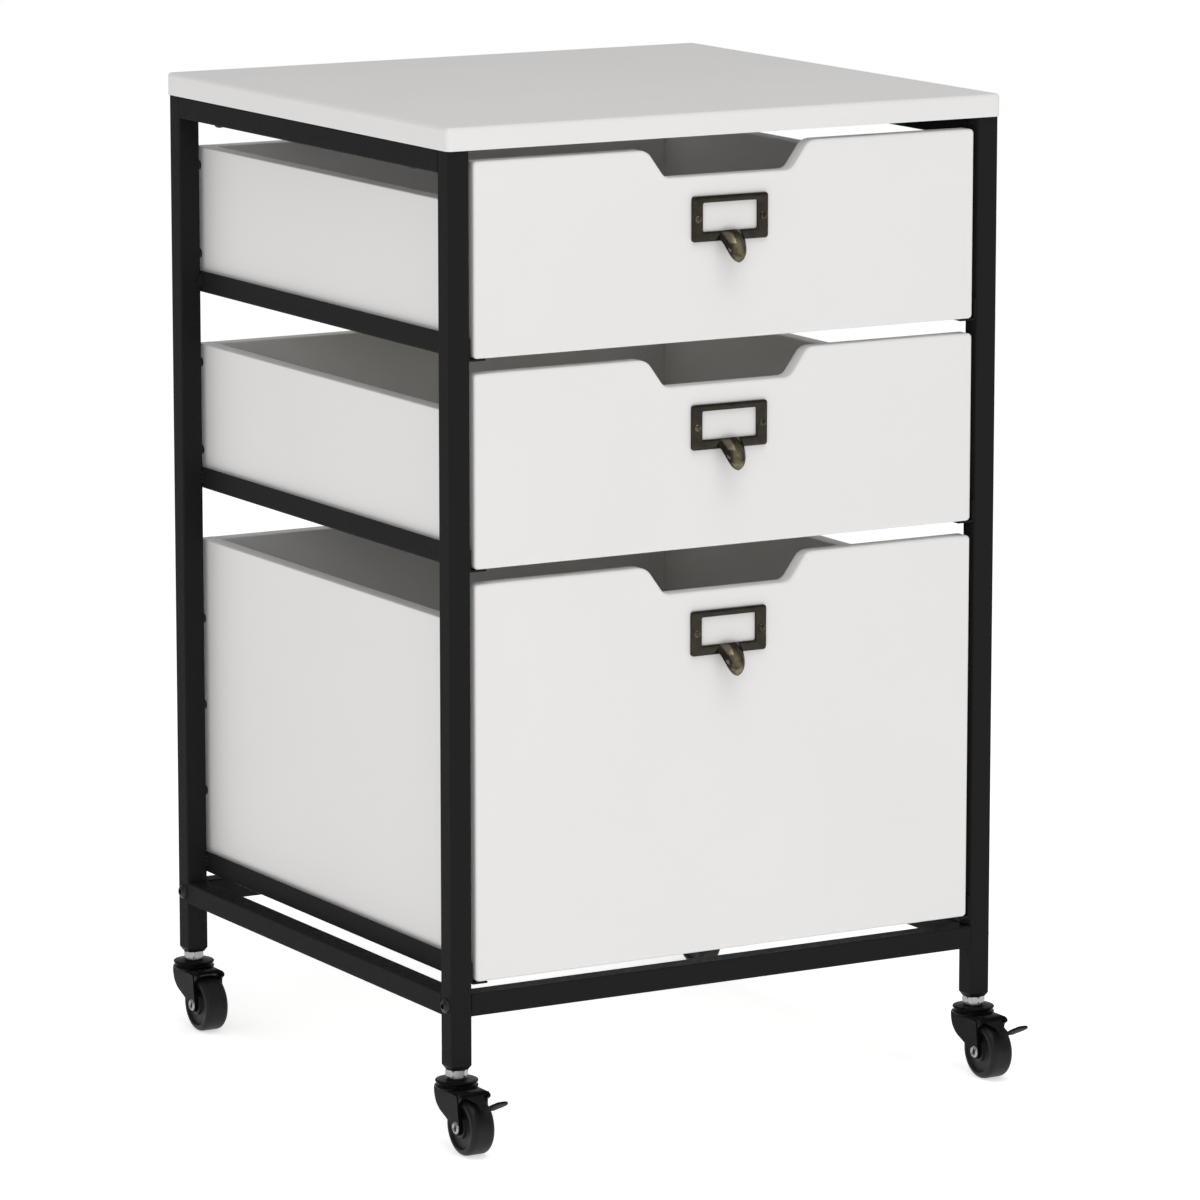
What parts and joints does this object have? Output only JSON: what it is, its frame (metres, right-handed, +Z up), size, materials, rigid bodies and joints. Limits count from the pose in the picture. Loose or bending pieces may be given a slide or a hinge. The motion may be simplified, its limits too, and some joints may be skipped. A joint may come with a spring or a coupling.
{
  "type": "rolling drawer cart",
  "caption": "Rolling cart with a white board top on a black square-tube frame, sliding drawers with notched fronts and label pulls, and swivel casters with foot brakes.",
  "frame": {"origin": "on the floor, at the middle of the footprint with the drawers shut and the casters trailing to the front", "axes": "+Z up, -Y toward the drawer fronts, +X to the right as seen from the front"},
  "size_m": [0.454, 0.486, 0.707],
  "materials": {
    "white_board_top": "satin white paint on board",
    "white_board_drawers": "satin white paint on board",
    "drawer_bottom_board": "white faced board",
    "black_powder_coat": "satin black powder coat on steel tube",
    "black_caster_steel": "semi-gloss black on pressed steel",
    "black_tyre": "smooth black tyre",
    "aged_bronze": "dark aged bronze, rubbed bright on the tongue",
    "black_steel_fasteners": "black oxide",
    "zinc_plated_steel": "bright zinc",
    "black_plastic": "matte black moulding"
  },
  "bodies": {
    "frame": {"top_panel": "white_board_top", "post_front_left": "black_powder_coat", "post_front_right": "black_powder_coat", "post_rear_left": "black_powder_coat", "post_rear_right": "black_powder_coat", "top_rail_left": "black_powder_coat", "top_rail_right": "black_powder_coat", "base_rail_left": "black_powder_coat", "base_rail_right": "black_powder_coat", "base_rail_front": "black_powder_coat", "base_rail_rear": "black_powder_coat", "runners_upper": "black_powder_coat", "runners_middle": "black_powder_coat", "runners_lower": "black_powder_coat", "rail_bolts": "black_steel_fasteners", "rail_end_inserts": "zinc_plated_steel", "top_panel_screws": "black_steel_fasteners", "post_end_plugs": "black_plastic", "caster_nuts": "zinc_plated_steel", "caster_upper_races": "black_caster_steel", "caster_stems": "zinc_plated_steel"},
    "upper_drawer": {"drawer_upper_front": "white_board_drawers", "drawer_upper_left_side": "white_board_drawers", "drawer_upper_right_side": "white_board_drawers", "drawer_upper_back": "white_board_drawers", "drawer_upper_bottom": "drawer_bottom_board", "drawer_upper_pull": "aged_bronze", "drawer_upper_pull_screws": "aged_bronze", "drawer_upper_wall_screws": "black_steel_fasteners"},
    "middle_drawer": {"drawer_middle_front": "white_board_drawers", "drawer_middle_left_side": "white_board_drawers", "drawer_middle_right_side": "white_board_drawers", "drawer_middle_back": "white_board_drawers", "drawer_middle_bottom": "drawer_bottom_board", "drawer_middle_pull": "aged_bronze", "drawer_middle_pull_screws": "aged_bronze", "drawer_middle_wall_screws": "black_steel_fasteners"},
    "lower_drawer": {"drawer_lower_front": "white_board_drawers", "drawer_lower_left_side": "white_board_drawers", "drawer_lower_right_side": "white_board_drawers", "drawer_lower_back": "white_board_drawers", "drawer_lower_bottom": "drawer_bottom_board", "drawer_lower_pull": "aged_bronze", "drawer_lower_pull_screws": "aged_bronze", "drawer_lower_wall_screws": "black_steel_fasteners"},
    "front_left_caster": {"caster_fork_front_left": "black_caster_steel", "caster_axle_front_left": "zinc_plated_steel"},
    "front_left_wheel": {"caster_wheel_front_left": "black_tyre"},
    "front_left_brake": {"brake_pedal_front_left": "black_caster_steel"},
    "front_right_caster": {"caster_fork_front_right": "black_caster_steel", "caster_axle_front_right": "zinc_plated_steel"},
    "front_right_wheel": {"caster_wheel_front_right": "black_tyre"},
    "front_right_brake": {"brake_pedal_front_right": "black_caster_steel"},
    "rear_left_caster": {"caster_fork_rear_left": "black_caster_steel", "caster_axle_rear_left": "zinc_plated_steel"},
    "rear_left_wheel": {"caster_wheel_rear_left": "black_tyre"},
    "rear_right_caster": {"caster_fork_rear_right": "black_caster_steel", "caster_axle_rear_right": "zinc_plated_steel"},
    "rear_right_wheel": {"caster_wheel_rear_right": "black_tyre"}
  },
  "joints": [
    {"name": "upper_drawer_slide", "type": "slide", "parent": "frame", "child": "upper_drawer", "axis": [0, -1, 0], "range_m": [0, 0.28]},
    {"name": "middle_drawer_slide", "type": "slide", "parent": "frame", "child": "middle_drawer", "axis": [0, -1, 0], "range_m": [0, 0.28]},
    {"name": "lower_drawer_slide", "type": "slide", "parent": "frame", "child": "lower_drawer", "axis": [0, -1, 0], "range_m": [0, 0.28]},
    {"name": "front_left_swivel", "type": "hinge", "parent": "frame", "child": "front_left_caster", "pos_m": [-0.212, -0.177, 0.0455], "axis": [0, 0, 1], "continuous": true},
    {"name": "front_left_wheel_spin", "type": "hinge", "parent": "front_left_caster", "child": "front_left_wheel", "pos_m": [-0.212, -0.197, 0.02], "axis": [1, 0, 0], "continuous": true},
    {"name": "front_left_brake_tip", "type": "hinge", "parent": "front_left_caster", "child": "front_left_brake", "pos_m": [-0.212, -0.2015, 0.0428], "axis": [1, 0, 0], "range_deg": [0, 18]},
    {"name": "front_right_swivel", "type": "hinge", "parent": "frame", "child": "front_right_caster", "pos_m": [0.212, -0.177, 0.0455], "axis": [0, 0, 1], "continuous": true},
    {"name": "front_right_wheel_spin", "type": "hinge", "parent": "front_right_caster", "child": "front_right_wheel", "pos_m": [0.212, -0.197, 0.02], "axis": [1, 0, 0], "continuous": true},
    {"name": "front_right_brake_tip", "type": "hinge", "parent": "front_right_caster", "child": "front_right_brake", "pos_m": [0.212, -0.2015, 0.0428], "axis": [1, 0, 0], "range_deg": [0, 18]},
    {"name": "rear_left_swivel", "type": "hinge", "parent": "frame", "child": "rear_left_caster", "pos_m": [-0.212, 0.228, 0.0455], "axis": [0, 0, 1], "continuous": true},
    {"name": "rear_left_wheel_spin", "type": "hinge", "parent": "rear_left_caster", "child": "rear_left_wheel", "pos_m": [-0.212, 0.208, 0.02], "axis": [1, 0, 0], "continuous": true},
    {"name": "rear_right_swivel", "type": "hinge", "parent": "frame", "child": "rear_right_caster", "pos_m": [0.212, 0.228, 0.0455], "axis": [0, 0, 1], "continuous": true},
    {"name": "rear_right_wheel_spin", "type": "hinge", "parent": "rear_right_caster", "child": "rear_right_wheel", "pos_m": [0.212, 0.208, 0.02], "axis": [1, 0, 0], "continuous": true}
  ]
}
